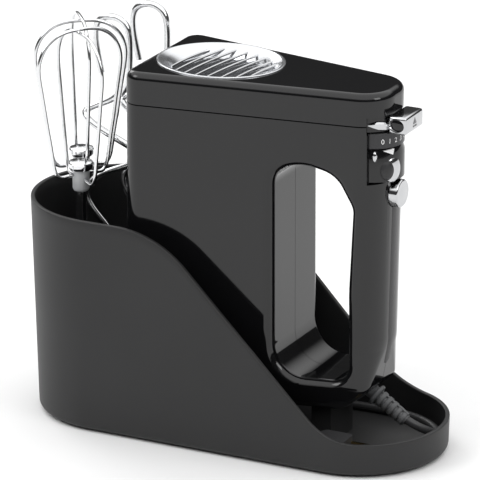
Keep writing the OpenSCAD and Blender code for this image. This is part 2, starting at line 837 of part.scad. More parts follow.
caddy_shell();
caddy_feet();
tool_rack();
cord_drum();
heel_rest();
housing_left();
housing_right();
nose_cap();
vent_bezel();
vent_grille();
grip_cover();
speed_scale();
speed_switch();
circuit_board();
strain_relief();
cord_clamp();
cord_tube();
cord_coil();
plug_body();
plug_blades();
field_core();
field_coils();
brush_holders();
brushes();
shaft_bearings();
gear_case();
gear_cover();
gear_screws();
housing_screws();
lever_pin();
motor_shaft();
worm();
armature_core();
armature_windings();
commutator();
fan();
worm_wheel_left();
spindle_left();
worm_wheel_right();
spindle_right();
eject_lever();
eject_fork();
eject_spring();
selector_dial();
selector_trim();
turbo_button();
turbo_spring();
beater_front_wires();
beater_front_collar();
beater_front_shaft();
beater_rear_wires();
beater_rear_collar();
beater_rear_shaft();
hook_near_rod();
hook_near_shaft();
hook_far_rod();
hook_far_shaft();
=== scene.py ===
import json
import math
import bpy
import bmesh
from mathutils import Matrix, Vector


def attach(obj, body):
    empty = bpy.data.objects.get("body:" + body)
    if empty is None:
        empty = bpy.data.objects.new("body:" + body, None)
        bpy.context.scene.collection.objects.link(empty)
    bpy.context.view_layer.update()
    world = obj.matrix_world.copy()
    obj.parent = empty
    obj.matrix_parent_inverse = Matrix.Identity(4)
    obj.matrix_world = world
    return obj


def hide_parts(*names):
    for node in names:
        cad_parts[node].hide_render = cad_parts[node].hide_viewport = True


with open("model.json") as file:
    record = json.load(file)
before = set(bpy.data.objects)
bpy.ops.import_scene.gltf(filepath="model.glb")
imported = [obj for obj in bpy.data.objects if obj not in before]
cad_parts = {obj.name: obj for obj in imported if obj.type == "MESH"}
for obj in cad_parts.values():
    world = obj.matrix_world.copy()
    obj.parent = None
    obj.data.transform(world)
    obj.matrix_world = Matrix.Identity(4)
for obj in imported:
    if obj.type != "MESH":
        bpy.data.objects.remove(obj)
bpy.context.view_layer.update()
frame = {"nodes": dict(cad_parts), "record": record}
mm = 0.001
scene = bpy.context.scene

# camera first, then the cord
view = dict(place=(1.3242, -2.6109, 1.1383), azimuth=26.89, tilt=19.35, lens=416.9)
around, down = math.radians(view["azimuth"]), math.radians(view["tilt"])
forward = Vector((-math.sin(around) * math.cos(down), math.cos(around) * math.cos(down), -math.sin(down)))
cameraData = bpy.data.cameras.new("camera")
cameraData.lens = view["lens"]
cameraData.sensor_width = 36
cameraData.clip_end = 50
camera = bpy.data.objects.new("camera", cameraData)
camera.location = view["place"]
camera.rotation_euler = forward.to_track_quat("-Z", "Y").to_euler()
scene.collection.objects.link(camera)
scene.camera = camera


# one shader socket, so that shader maths reads as plain expressions
class Value:
    def __init__(self, paint, socket):
        self.paint = paint
        self.socket = socket

    def maths(self, operation, *terms):
        return self.paint.add("ShaderNodeMath", dict(operation=operation), terms)

    def __add__(self, other):
        return self.maths("ADD", self, other)

    def __sub__(self, other):
        return self.maths("SUBTRACT", self, other)

    def __mul__(self, other):
        return self.maths("MULTIPLY", self, other)

    def __radd__(self, other):
        return self.maths("ADD", other, self)

    def sine(self):
        return self.maths("SINE", self)

    def above(self, edge, soft):
        return self.paint.add("ShaderNodeMapRange", dict(interpolation_type="SMOOTHSTEP"),
                              {"Value": self, "From Min": edge - soft, "From Max": edge + soft})


class Paint:
    def __init__(self, name):
        self.material = bpy.data.materials.new(name)
        self.material.use_nodes = True
        self.tree = self.material.node_tree
        self.shader = self.tree.nodes["Principled BSDF"]
        self.where = self.add("ShaderNodeTexCoord", {}, {}, "Object")

    # settings are set first, then each socket gets its value or its link
    def add(self, kind, settings, sockets, output=0):
        node = self.tree.nodes.new(kind)
        for key, value in settings.items():
            setattr(node, key, value)
        pairs = sockets.items() if isinstance(sockets, dict) else enumerate(sockets)
        for key, value in pairs:
            self.feed(node.inputs[key], value)
        return Value(self, node.outputs[output])

    def feed(self, socket, value):
        if isinstance(value, Value):
            self.tree.links.new(value.socket, socket)
        else:
            socket.default_value = value

    def noise(self, size, detail=3, stretch=None):
        where = self.where
        if stretch:
            where = self.add("ShaderNodeMapping", {}, {"Vector": where, "Scale": stretch})
        return self.add("ShaderNodeTexNoise", {}, {"Vector": where, "Scale": 1 / size, "Detail": detail})

    def tint(self, mask, low, high):
        return self.add("ShaderNodeMix", dict(data_type="RGBA"),
                        {0: mask, 6: (*low, 1), 7: (*high, 1)}, 2)

    def axes(self):
        first = self.add("ShaderNodeSeparateXYZ", {}, [self.where])
        return [Value(self, out) for out in first.socket.node.outputs]

    def bump(self, height, strength, depth):
        return self.add("ShaderNodeBump", {}, {"Strength": strength, "Distance": depth, "Height": height})

    def finish(self, **sockets):
        for key, value in sockets.items():
            self.feed(self.shader.inputs[key.replace("_", " ")], value)
        return self.material


# a moulded, plated or turned finish: two close tints in soft patches, uneven gloss and a fine grain
def makeFinish(name, low, high, rough, spread=0.1, metal=0.0, patch=0.03, grain=0.0008, bite=0.15,
               depth=0.0001, stretch=None, glass=1.45):
    paint = Paint(name)
    patches = paint.noise(patch, 4)
    fine = paint.noise(grain, 2, stretch)
    smears = paint.noise(patch * 0.35, 5, (1, 1, 0.25))
    return paint.finish(
        Base_Color=paint.tint(patches, low, high), Metallic=metal, IOR=glass,
        Roughness=rough - spread / 2 + smears * spread + (fine - 0.5) * 0.03,
        Normal=paint.bump(fine, bite, depth))


# stacked steel sheets: thin dark lines every half millimetre
def makeLaminated(name, low, high):
    paint = Paint(name)
    x, y, z = paint.axes()
    lines = (z * 4200).sine()
    mask = lines.above(0.2, 0.6)
    return paint.finish(Base_Color=paint.tint(mask, low, high), Metallic=0.85,
                        Roughness=0.35 + paint.noise(0.004) * 0.2, Normal=paint.bump(lines, 0.4, 0.0001))


# enamelled winding wire, laid side by side
def makeWound(name, low, high):
    paint = Paint(name)
    x, y, z = paint.axes()
    wave = (x * 5200 + y * 3000).sine()
    return paint.finish(Base_Color=paint.tint(wave.above(0, 0.9), low, high), Metallic=0.8,
                        Roughness=0.25 + paint.noise(0.003) * 0.15, Normal=paint.bump(wave, 0.5, 0.0002))


paints = {
    "caddy_black": makeFinish("caddyBlack", (0.014, 0.014, 0.0145), (0.019, 0.019, 0.0195), 0.5, 0.08,
                              patch=0.05, grain=0.0005, bite=0.35, depth=0.00008),
    "foot_rubber": makeFinish("footRubber", (0.03, 0.03, 0.03), (0.06, 0.06, 0.06), 0.8),
    "gloss_black": makeFinish("glossBlack", (0.0035, 0.0035, 0.004), (0.006, 0.006, 0.0065), 0.07, 0.05,
                              patch=0.04, grain=0.0015, bite=0.02, depth=0.00003, glass=1.5),
    "soft_grip": makeFinish("softGrip", (0.016, 0.016, 0.017), (0.026, 0.026, 0.027), 0.45, 0.08,
                            grain=0.0004, bite=0.4, depth=0.00006),
    "bright_chrome": makeFinish("brightChrome", (0.5, 0.505, 0.515), (0.6, 0.605, 0.615), 0.1, 0.06, 1.0,
                                grain=0.001, bite=0.02, depth=0.00003),
    "grille_silver": makeFinish("grilleSilver", (0.62, 0.63, 0.65), (0.72, 0.73, 0.75), 0.2, 0.08, 0.9,
                                bite=0.04, depth=0.00003),
    "dark_plastic": makeFinish("darkPlastic", (0.018, 0.018, 0.02), (0.035, 0.035, 0.037), 0.3, 0.1,
                               grain=0.0004, bite=0.2, depth=0.00005),
    "relief_grey": makeFinish("reliefGrey", (0.07, 0.072, 0.075), (0.1, 0.102, 0.105), 0.5, 0.1,
                              grain=0.0004, bite=0.3, depth=0.00008),
    "cord_black": makeFinish("cordBlack", (0.03, 0.03, 0.031), (0.045, 0.045, 0.047), 0.42, 0.1,
                             grain=0.0006, bite=0.25, depth=0.00008),
    "collar_grey": makeFinish("collarGrey", (0.5, 0.51, 0.52), (0.6, 0.61, 0.62), 0.35, 0.1,
                              grain=0.0005, bite=0.1, depth=0.00004),
    "polished_steel": makeFinish("polishedSteel", (0.7, 0.71, 0.72), (0.82, 0.82, 0.83), 0.14, 0.1, 1.0,
                                 patch=0.012, grain=0.0006, bite=0.06, depth=0.00003, stretch=(3, 3, 0.2)),
    "machined_steel": makeFinish("machinedSteel", (0.45, 0.45, 0.46), (0.62, 0.62, 0.63), 0.28, 0.15, 1.0,
                                 grain=0.0007, bite=0.25, depth=0.00005, stretch=(0.2, 1, 6)),
    "core_steel": makeLaminated("coreSteel", (0.12, 0.12, 0.125), (0.42, 0.42, 0.43)),
    "copper": makeWound("copper", (0.3, 0.1, 0.04), (0.72, 0.34, 0.16)),
    "carbon": makeFinish("carbon", (0.02, 0.02, 0.02), (0.05, 0.05, 0.05), 0.55, 0.15, 0.2),
    "acetal": makeFinish("acetal", (0.7, 0.67, 0.58), (0.8, 0.77, 0.68), 0.4, 0.1, bite=0.1),
    "board_green": makeFinish("boardGreen", (0.02, 0.11, 0.05), (0.05, 0.18, 0.08), 0.3, 0.1, patch=0.003),
    "bronze": makeFinish("bronze", (0.4, 0.25, 0.1), (0.56, 0.38, 0.17), 0.35, 0.15, 1.0, bite=0.3),
    "brass": makeFinish("brass", (0.65, 0.48, 0.2), (0.78, 0.6, 0.3), 0.22, 0.1, 1.0, bite=0.08),
    "white_mark": makeFinish("whiteMark", (0.75, 0.75, 0.75), (0.85, 0.85, 0.85), 0.5, 0.1),
    "grey_mark": makeFinish("greyMark", (0.16, 0.16, 0.165), (0.24, 0.24, 0.245), 0.5, 0.1),
}
for part in frame["record"]["subparts"]:
    for slot in frame["nodes"][part["node"]].material_slots:
        slot.material = paints[part["material_slot"]]
print("paints done")


# corners of a closed outline turned into arcs; a radius of 0 keeps the corner
def roundCorners(corners, radii, steps=10):
    out = []
    for i, corner in enumerate(corners):
        b = Vector(corner)
        u = (Vector(corners[i - 1]) - b).normalized()
        v = (Vector(corners[(i + 1) % len(corners)]) - b).normalized()
        if radii[i] <= 0:
            out.append(b)
            continue
        half = u.angle(v) / 2
        centre = b + (u + v).normalized() * radii[i] / math.sin(half)
        start = b + u * radii[i] / math.tan(half) - centre
        end = b + v * radii[i] / math.tan(half) - centre
        for k in range(steps + 1):
            out.append(centre + start.slerp(end, k / steps).normalized() * radii[i])
    return out


def moved(outline, amount):
    out = []
    for i, p in enumerate(outline):
        t = (outline[(i + 1) % len(outline)] - outline[i - 1]).normalized()
        out.append(p + Vector((t.y, -t.x)) * amount)
    return out


# a smooth curve led by points, as the cord and the wires are bent
def smoothLine(points, steps):
    p = [Vector(q) for q in points]
    p = [2 * p[0] - p[1], *p, 2 * p[-1] - p[-2]]
    out = []
    for i in range(len(p) - 3):
        for k in range(steps):
            t = k / steps
            out.append(((1 - t) ** 3 * p[i] + (3 * t ** 3 - 6 * t * t + 4) * p[i + 1]
                        + (-3 * t ** 3 + 3 * t * t + 3 * t + 1) * p[i + 2] + t ** 3 * p[i + 3]) / 6)
    return out + [Vector(points[-1])]


# painted marks belong to the plastic that they are printed on
def place(name, data, paint, body, stands=()):
    thing = bpy.data.objects.new(name, data)
    scene.collection.objects.link(thing)
    data.materials.append(paints[paint])
    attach(thing, body)
    if stands:
        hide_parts(*stands)
    return thing


def asPiece(name, bm, paint, body, stands=(), sharp=32):
    bmesh.ops.remove_doubles(bm, verts=bm.verts, dist=1e-7)
    mesh = bpy.data.meshes.new(name)
    bm.to_mesh(mesh)
    bm.free()
    thing = place(name, mesh, paint, body, stands)
    soften(thing, sharp)
    return thing


# smooth shading with sharp edges kept; large flat faces lead the normals where weighted
def soften(thing, sharp, weighted=False):
    thing.data.polygons.foreach_set("use_smooth", [True] * len(thing.data.polygons))
    thing.data.set_sharp_from_angle(angle=math.radians(sharp))
    if weighted:
        even = thing.modifiers.new("even", "WEIGHTED_NORMAL")
        even.keep_sharp = True
        even.weight = 80


def tube(name, lines, radius, paint, body, stands=(), sides=3):
    data = bpy.data.curves.new(name, "CURVE")
    data.dimensions = "3D"
    for line in lines:
        spline = data.splines.new("POLY")
        spline.points.add(len(line) - 1)
        for point, q in zip(spline.points, line):
            point.co = (*(Vector(q) * mm), 1)
    data.bevel_depth = radius * mm
    data.bevel_resolution = sides
    data.use_fill_caps = True
    return place(name, data, paint, body, stands)


# closed rings of points: the first is drawn, and each next one is the last one extruded and moved
def loft(rings, closed=True, bm=None):
    bm = bm or bmesh.new()
    verts = [bm.verts.new(Vector(p) * mm) for p in rings[0]]
    edges = [bm.edges.new((verts[i - 1], verts[i])) for i in range(len(verts))]
    if closed:
        bm.faces.new(verts)
    for ring in rings[1:]:
        made = bmesh.ops.extrude_edge_only(bm, edges=edges)["geom"]
        edges = [g for g in made if isinstance(g, bmesh.types.BMEdge)]
        fresh = {v for edge in edges for v in edge.verts}
        order = {v: i for i, v in enumerate(verts)}
        verts = [None] * len(ring)
        for v in fresh:
            i = next(order[link.other_vert(v)] for link in v.link_edges if link.other_vert(v) in order)
            v.co = Vector(ring[i]) * mm
            verts[i] = v
    if closed:
        bm.faces.new(verts)
    bmesh.ops.recalc_face_normals(bm, faces=bm.faces)
    return bm


# a profile of (radius, height) turned about an axis that starts at base
def turned(profile, base, axis, steps=64, closed=True):
    bm = bmesh.new()
    verts = [bm.verts.new((r * mm, 0, h * mm)) for r, h in profile]
    edges = [bm.edges.new(pair) for pair in zip(verts, verts[1:])]
    if closed:
        edges.append(bm.edges.new((verts[-1], verts[0])))
    bmesh.ops.spin(bm, geom=verts + edges, cent=(0, 0, 0), axis=(0, 0, 1), angle=2 * math.pi, steps=steps,
                   use_merge=True)
    bmesh.ops.remove_doubles(bm, verts=bm.verts, dist=1e-7)
    turn = Vector((0, 0, 1)).rotation_difference(Vector(axis)).to_matrix().to_4x4()
    bmesh.ops.transform(bm, matrix=Matrix.Translation(Vector(base) * mm) @ turn, verts=bm.verts)
    bmesh.ops.recalc_face_normals(bm, faces=bm.faces)
    return bm


# a box with all its edges rounded
def softBox(low, high, radius, bm=None, segments=4):
    bm = bm or bmesh.new()
    size = Vector(high) - Vector(low)
    middle = (Vector(high) + Vector(low)) / 2
    made = bmesh.ops.create_cube(bm, size=1)
    bmesh.ops.scale(bm, vec=size * mm, verts=made["verts"])
    bmesh.ops.translate(bm, vec=middle * mm, verts=made["verts"])
    if radius:
        edges = list({e for v in made["verts"] for e in v.link_edges})
        bmesh.ops.bevel(bm, geom=edges, offset=radius * mm, offset_type="OFFSET", affect="EDGES",
                        segments=segments, profile=0.5, material=-1)
    return bm


# a flat outline pushed along an axis; flat names the two axes that the outline lies in
def slab(outline, low, high, flat="XY", bm=None):
    bm = bm or bmesh.new()

    def put(p, h):
        return {"XY": (p[0], p[1], h), "YZ": (h, p[0], p[1])}[flat]
    face = bm.faces.new([bm.verts.new(Vector(put(p, low)) * mm) for p in outline])
    made = bmesh.ops.extrude_face_region(bm, geom=[face])
    top = [v for v in made["geom"] if isinstance(v, bmesh.types.BMVert)]
    bmesh.ops.translate(bm, vec=(Vector(put((0, 0), high)) - Vector(put((0, 0), low))) * mm, verts=top)
    bmesh.ops.recalc_face_normals(bm, faces=bm.faces)
    return bm


# cuts, joins or keeps what two shapes share, and leaves one plain mesh
def carve(thing, bm, how="DIFFERENCE", solver="EXACT"):
    mesh = bpy.data.meshes.new("cutter")
    bm.to_mesh(mesh)
    bm.free()
    cutter = bpy.data.objects.new("cutter", mesh)
    scene.collection.objects.link(cutter)
    step = thing.modifiers.new("step", "BOOLEAN")
    step.operation = how
    step.solver = solver
    step.object = cutter
    fresh = bpy.data.meshes.new_from_object(thing.evaluated_get(bpy.context.evaluated_depsgraph_get()))
    thing.modifiers.remove(step)
    old = thing.data
    name = old.name
    thing.data = fresh
    bpy.data.meshes.remove(old)
    fresh.name = name
    bpy.data.objects.remove(cutter)
    bpy.data.meshes.remove(mesh)
    return thing


# the mains cord: along the tray, round the drum in two layers, and back to the plug
cord = dict(thick=4.8, middle=(-8, 0), low=6.5, high=11.3, wide=39.2, narrow=28.4, turns=4.5)
leadRoute = [
    (102, 0, 21.7), (107.7, 1.2, 18.4), (112.2, 4.8, 15.1), (114.9, 10, 11.8), (115.2, 15.8, 8.8),
    (112.7, 22.6, 7.1), (107, 30, 6.5), (98, 36.6, 6.5), (86, 41.2, 6.5), (70, 42.6, 6.5),
    (52, 42, 6.5), (30, 40, 6.5), (12, 39, 6.5), (-4, 39.2, 6.5),
]
tailRoute = [
    (-12, -39.2, 11.5), (6, -39, 11.5), (22, -38, 11.3), (36, -36, 10.9), (50, -34, 10.6), (58, -33, 10.5),
]
coilRoute = []
for k in range(2, int(cord["turns"] * 24) - 1):
    turns = k / 24
    half = cord["turns"] / 2
    drop = 1 - abs(turns - half) / half
    radius = cord["wide"] + 0.3 - (cord["wide"] - cord["narrow"]) * drop
    rise = min(1, max(0, (turns - half + 0.15) / 0.3))
    height = cord["low"] + (cord["high"] - cord["low"]) * rise * rise * (3 - 2 * rise)
    angle = math.radians(90) + turns * 2 * math.pi
    coilRoute.append((cord["middle"][0] + radius * math.cos(angle),
                      cord["middle"][1] + radius * math.sin(angle), height))
cordLine = smoothLine(leadRoute + coilRoute + tailRoute[1:], 4)
cordLength = sum((q - p).length for p, q in zip(cordLine, cordLine[1:])) * mm
mainsCord = tube("mainsCord", [cordLine], cord["thick"] / 2, "cord_black", "mixer",
                 ("cord_tube", "cord_coil"), 4)
tuple(cordLine[0] * mm)
print("cord", round(cordLength, 3))


# the oval caddy
caddy = dict(middle=1.5, width=100, spacing=73.25, draft=0.0287, wall=2.5, bottom=1, floor=4,
             rim=(126.6, 20), slope=1.03, drop=(-25.3, 78.2), bends=(60, 40))


def rimHeight(x):
    lean = math.atan(caddy["slope"])
    (x1, x2), (r1, r2), (z1, z2) = caddy["drop"], caddy["bends"], caddy["rim"]
    t1, t2 = r1 * math.tan(lean / 2), r2 * math.tan(lean / 2)
    if x < x1 - t1:
        return z1
    if x < x1 + t1 * math.cos(lean):
        return z1 - r1 + math.sqrt(r1 ** 2 - (x - x1 + t1) ** 2)
    if x < x2 - t2 * math.cos(lean):
        return z1 - caddy["slope"] * (x - x1)
    if x < x2 + t2:
        return z2 + r2 - math.sqrt(r2 ** 2 - (x2 + t2 - x) ** 2)
    return z2


def stadium(radius, spacing, middle, arcs=48, straights=56):
    out = []
    for side in (1, -1):
        for k in range(arcs):
            t = math.radians(-90 + 180 * k / arcs)
            out.append((side * (spacing + radius * math.cos(t)), side * radius * math.sin(t)))
        for k in range(straights):
            out.append((side * spacing * (1 - 2 * k / straights), side * radius))
    return [(x + middle, y) for x, y in out]


def caddyRing(inset, level, fraction=None, below=0.0):
    base = stadium(caddy["width"] / 2 - inset, caddy["spacing"], caddy["middle"])
    flat = stadium(1, 0, 0)
    ring = []
    for (x, y), (nx, ny) in zip(base, flat):
        z = level if fraction is None else level + (rimHeight(x) - below - level) * fraction
        grow = caddy["draft"] * (z - caddy["bottom"])
        length = math.hypot(nx, ny)
        ring.append((x + grow * nx / length, y + grow * ny / length, z))
    return ring


rings = []
for k in range(7):
    t = math.radians(15 * k)
    rings.append(caddyRing(4 - 4 * math.sin(t), caddy["bottom"] + 4 - 4 * math.cos(t)))
for k in range(1, 25):
    rings.append(caddyRing(0, caddy["bottom"] + 4, k / 24, 0.5))
rings.append(caddyRing(0.15, 5, 1, 0.15))
rings.append(caddyRing(0.5, 5, 1, 0))
rings.append(caddyRing(caddy["wall"] - 0.5, 5, 1, 0))
rings.append(caddyRing(caddy["wall"] - 0.15, 5, 1, 0.15))
for k in range(24, 0, -1):
    rings.append(caddyRing(caddy["wall"], caddy["floor"] + 3, k / 24, 0.5))
for k in range(7):
    t = math.radians(15 * k)
    rings.append(caddyRing(caddy["wall"] + 3 - 3 * math.cos(t), caddy["floor"] + 3 - 3 * math.sin(t)))
asPiece("caddyTub", loft(rings), "caddy_black", "caddy", ("caddy_shell",), sharp=50)
print("caddy done")


# the mixer casing; its width narrows towards the handle
body = dict(face=-52.2, bottom=27, top=213.4, seam=195.1, half=43.3, taper=0.158, faceRadius=9,
            handleRadius=18.8, heelRadius=3.5, underside=2.5, capEdge=4.5, capGap=0.001,
            parting=0.14)
# the lower right corner and the back of the handle, from the bottom up
handleBack = roundCorners([(20, 27), (72, 27), (88.5, 40), (93.6, 66), (96.9, body["top"]),
                           (20, body["top"])], [0, 18, 9, 40, 0, 0], 12)[1:-1]


# where the back of the handle is at a height
def backX(z):
    for p, q in zip(handleBack, handleBack[1:]):
        if q.y - p.y > 1e-6 and z <= q.y:
            return p.x + (q.x - p.x) * max(0, z - p.y) / (q.y - p.y)
    return handleBack[-1].x


def ease(t):
    t = min(1, max(0, t))
    return t * t * (3 - 2 * t)


# the sides turn in below a line that rises towards the handle's foot
def keel(x, z):
    line = 28 + 3 * ease((x - 30) / 20) + 20 * ease((x - 52) / 46)
    below = max(0, line - z) / max(4, line - body["bottom"] + 3)
    return math.sqrt(1 - 0.8 * below ** 2)


# the casing's outline at a height, or that outline moved in by an inset
def bodyRing(z, inset=0.0):
    r, low, edge = body["faceRadius"], body["bottom"], body["underside"]
    xl = body["face"]
    if z < low + r:
        xl += r - math.sqrt(max(0, r * r - (r - z + low) ** 2))
    tuck = edge - math.sqrt(max(0, edge * edge - max(0, edge - z + low) ** 2))
    xl, xr = xl + inset, backX(z) - inset
    half = [body["half"] - body["taper"] * (x - body["face"]) - inset - tuck for x in (xl, xr)]
    rf = max(1, r - inset)
    rh = body["heelRadius"] + (body["handleRadius"] - body["heelRadius"]) * ease((z - 36) / 22)
    rh = max(1, rh - inset)
    outline = roundCorners([(xl, -half[0]), (xr, -half[1]), (xr, half[1]), (xl, half[0])],
                           [rf, rh, rh, rf], 12)
    return [(p.x, p.y * keel(p.x, z), z) for p in outline]


# heights at which the casing's outline changes
def bodyLevels(top):
    low, r = body["bottom"], body["faceRadius"]
    levels = sorted({round(p.y, 3) for p in handleBack if low <= p.y < top}
                    | {low + r * (1 - math.cos(math.radians(t))) for t in range(0, 91, 10)})
    clean = [levels[0]]
    for z in levels[1:]:
        if z - clean[-1] > 0.05:
            clean.append(z)
    return clean


opening = dict(
    corners=[(29.7, 39.5), (82.8, 40.5), (82, 98), (84.3, 148), (73, 169), (50, 175.5), (29.5, 168)],
    radii=[23, 15, 160, 16, 22, 30, 17], lip=5)


# the handle's opening, which flares to a rounded lip on both sides
def openingCutter():
    outline = roundCorners(opening["corners"], opening["radii"], 12)
    r = opening["lip"]
    sides = [(-r * math.cos(math.radians(t)), r - r * math.sin(math.radians(t))) for t in range(0, 85, 12)]
    sides.append((sides[-1][0] + 0.3, -6))
    rings = []
    for step, depth in reversed(sides):
        rings.append([(p.x, -(body["half"] - body["taper"] * (p.x - body["face"]) - depth), p.y)
                      for p in moved(outline, step)])
    flipped = [[(x, -y, z) for x, y, z in ring] for ring in reversed(rings)]
    return loft(rings + flipped)


dial = dict(x=82, low=162, high=181, core=15.2, outer=17.4, window=87.5, ledge=190.6)
turbo = dict(z=153.2, r=7.9, face=100.4, roll=1.1, base=90.2, rim=92.8, hole=8.3, holeStart=91, holeDeep=30)
lever = dict(top=200.4, low=190.4, end=107, half=11.2, wrap=62, start=14, reach=20.6, tail=96, level=196,
             groove=(190.6, 200))
socket = dict(face=-46, out=17.5, z=168,
              profile=[(0, 0), (5.8, 0), (5.8, 5), (6.8, 6.2), (6.8, 20), (0, 20)])


# a point on a circle about a place on the middle plane
def onCircle(centre, r, angle):
    return Vector((centre + r * math.cos(math.radians(angle)), r * math.sin(math.radians(angle))))


# everything outside the dial's core, from the window's edge to the back of the handle
def recessCutter():
    reach = math.degrees(math.acos((dial["window"] - dial["x"]) / dial["core"]))
    far = 120
    side = 40
    corners = [(dial["window"], -side), (far, -side), (far, side), (dial["window"], side)]
    arc = [onCircle(dial["x"], dial["core"], reach * k / 20) for k in range(20, -21, -1)]
    return slab([Vector(p) for p in corners] + arc, dial["low"] - 0.4, dial["ledge"])


# the ring that the dial's drum turns in
def drumCutter():
    r0, r1, low, high = dial["core"], dial["outer"] + 0.3, dial["low"] - 0.4, dial["high"] + 0.3
    return turned([(r0, low), (r1, low), (r1, high), (r0, high)], (dial["x"], 0, 0), (0, 0, 1), 96)


# the hole that the turbo button stands in
def buttonCutter():
    r, deep = turbo["hole"], turbo["holeDeep"]
    start = (turbo["holeStart"], 0, turbo["z"])
    return turned([(0, 0), (r, 0), (r, deep), (0, deep)], start, (1, 0, 0), closed=False)


# the groove round the handle's end that the eject lever lies in
def leverGroove():
    centre = backX(lever["level"]) - body["handleRadius"]
    ring = [onCircle(centre, 16, t) for t in range(-64, 65, 4)]
    ring += [onCircle(centre, 45, t) for t in range(64, -65, -4)]
    return slab(ring, *lever["groove"])


seam = body["seam"]
shellRings = [bodyRing(z) for z in bodyLevels(seam)]
shellRings += [bodyRing(seam - 0.6), bodyRing(seam - 0.25, 0.1), bodyRing(seam - 0.15, 0.3)]


def makeHousing():
    thing = asPiece("housing", loft(shellRings), "gloss_black", "mixer")
    for cutter in (openingCutter, recessCutter, drumCutter, buttonCutter, leverGroove):
        carve(thing, cutter())
    for side in (-1, 1):
        start = (socket["face"], side * socket["out"], socket["z"])
        carve(thing, turned(socket["profile"], start, (-1, 0, 0), closed=False))
    return thing


housing = makeHousing()
left = housing.copy()
left.data = housing.data.copy()
scene.collection.objects.link(left)
for thing, name, side in ((housing, "housingRight", 1), (left, "housingLeft", -1)):
    thing.name = name
    carve(thing, softBox((-60, min(side * 60, side * body["parting"]), 20),
                         (110, max(side * 60, side * body["parting"]), 220), 0), "INTERSECT", "MANIFOLD")
    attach(thing, "mixer")
    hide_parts("housing_right" if side > 0 else "housing_left")
    soften(thing, 28, True)
    print(thing.name, len(thing.data.polygons), "faces")
print("housing done")


# the nose cap and its vent
vent = dict(middle=(-11.5, 0), wide=36.7, deep=32)


# the vent's oval, or that oval grown by an amount
def oval(grow, z, n=96):
    return [(vent["middle"][0] + (vent["wide"] + grow) * math.cos(2 * math.pi * k / n),
             vent["middle"][1] + (vent["deep"] + grow) * math.sin(2 * math.pi * k / n), z)
            for k in range(n)]


capRings = [bodyRing(seam + 0.15, 0.3), bodyRing(seam + 0.25, 0.1), bodyRing(seam + 0.6)]
edge = body["capEdge"]
for t in range(0, 91, 10):
    t = math.radians(t)
    z = body["top"] - edge + edge * math.sin(t) - body["capGap"]
    capRings.append(bodyRing(z, edge - edge * math.cos(t)))
noseCap = asPiece("noseCap", loft(capRings), "gloss_black", "mixer", ("nose_cap",))
carve(noseCap, loft([oval(-0.3, z) for z in (body["top"] - 9, body["top"] + 5)]))
carve(noseCap, leverGroove())
soften(noseCap, 28, True)

bezel = [oval(-0.4, 205), oval(-0.4, 212.6), oval(0.1, 213.3), oval(0.0, 213.9), oval(-0.7, 214.2),
         oval(-1.5, 214.1), oval(-2.2, 213.6)]
for k in range(1, 7):
    bezel.append(oval(-2.2 - 6.6 * (k / 6) ** 0.8, 213.6 - 6.4 * (k / 6) ** 1.2))
bezel += [oval(-8.9, 205)]
asPiece("ventBezel", loft(bezel + [bezel[0]], closed=False), "grille_silver", "mixer", ("vent_bezel",))

# curved slats across the bowl, each one an arc with a plated top edge
slats = dict(starts=[(-38.5, -8), (-33, -12.5), (-26.5, -15.5), (-19.5, -17.5), (-12.5, -18.8), (-5, -18.3),
                     (2.5, -16.3), (9, -12.5)],
             ends=[(-29.5, 20.7), (-22.5, 25.7), (-15, 28.7), (-7, 30), (0.5, 29.5), (7, 27), (13, 22.5),
                   (17, 17)],
             low=208.4, high=211.4, wide=0.55)
grille = bmesh.new()
bars = []
for (x0, y0), (x1, y1) in zip(slats["starts"], slats["ends"]):
    bend = Vector((y1 - y0, x0 - x1)).normalized() * -4.5
    line = [((1 - t) ** 2 * Vector((x0, y0)) + 2 * t * (1 - t) * ((Vector((x0, y0)) + Vector((x1, y1))) / 2
            + bend) + t * t * Vector((x1, y1))) for t in [k / 14 for k in range(15)]]
    bars.append([(p.x, p.y, slats["low"] + (slats["high"] - slats["low"]) * (k / 14) ** 1.6)
                 for k, p in enumerate(line)])
    outline = []
    for sign in (1, -1):
        for k in (range(15) if sign > 0 else range(14, -1, -1)):
            t = (line[min(k + 1, 14)] - line[max(k - 1, 0)]).normalized()
            outline.append(line[k] + Vector((t.y, -t.x)) * slats["wide"] * sign)
    slab(outline, 203.5, slats["low"] - 0.1, bm=grille)
asPiece("grilleRibs", grille, "grille_silver", "mixer", ("vent_grille",))
tube("grilleEdges", bars, 0.7, "bright_chrome", "mixer")
asPiece("ventFloor", loft([oval(-6.5, 203), oval(-6.5, 204)]), "dark_plastic", "mixer")
print("vent done")


# a closed profile of (radius, height) swept through part of a turn about the dial's axis
def sector(profile, start, end, steps=24, middle=(dial["x"], 0)):
    bm = bmesh.new()
    t = math.radians(start)
    verts = [bm.verts.new(Vector((middle[0] + r * math.cos(t), middle[1] + r * math.sin(t), h)) * mm)
             for r, h in profile]
    face = bm.faces.new(verts)
    bmesh.ops.spin(bm, geom=[face] + verts + list(face.edges), cent=(middle[0] * mm, middle[1] * mm, 0),
                   axis=(0, 0, 1), angle=math.radians(end - start), steps=steps)
    bmesh.ops.recalc_face_normals(bm, faces=bm.faces)
    return bm


# where the rounded back of the handle is, beside the middle plane
def handleX(y, z, out=0.0):
    r = body["handleRadius"]
    return backX(z) - r + math.sqrt((r + out) ** 2 - y * y)


# a patch of the handle's rounded back as a thin closed pad; each row is (height, half width)
def backPad(rows, out, depth):
    steps = 20
    rings = []
    for z, half in rows:
        ys = [half * (2 * k / steps - 1) for k in range(steps + 1)]
        outer = [(handleX(y, z, out) - (0.25 if k in (0, steps) else 0), y, z) for k, y in enumerate(ys)]
        inner = [(handleX(y, z, -depth), y, z) for y in reversed(ys)]
        rings.append(outer + inner)
    return loft(rings)


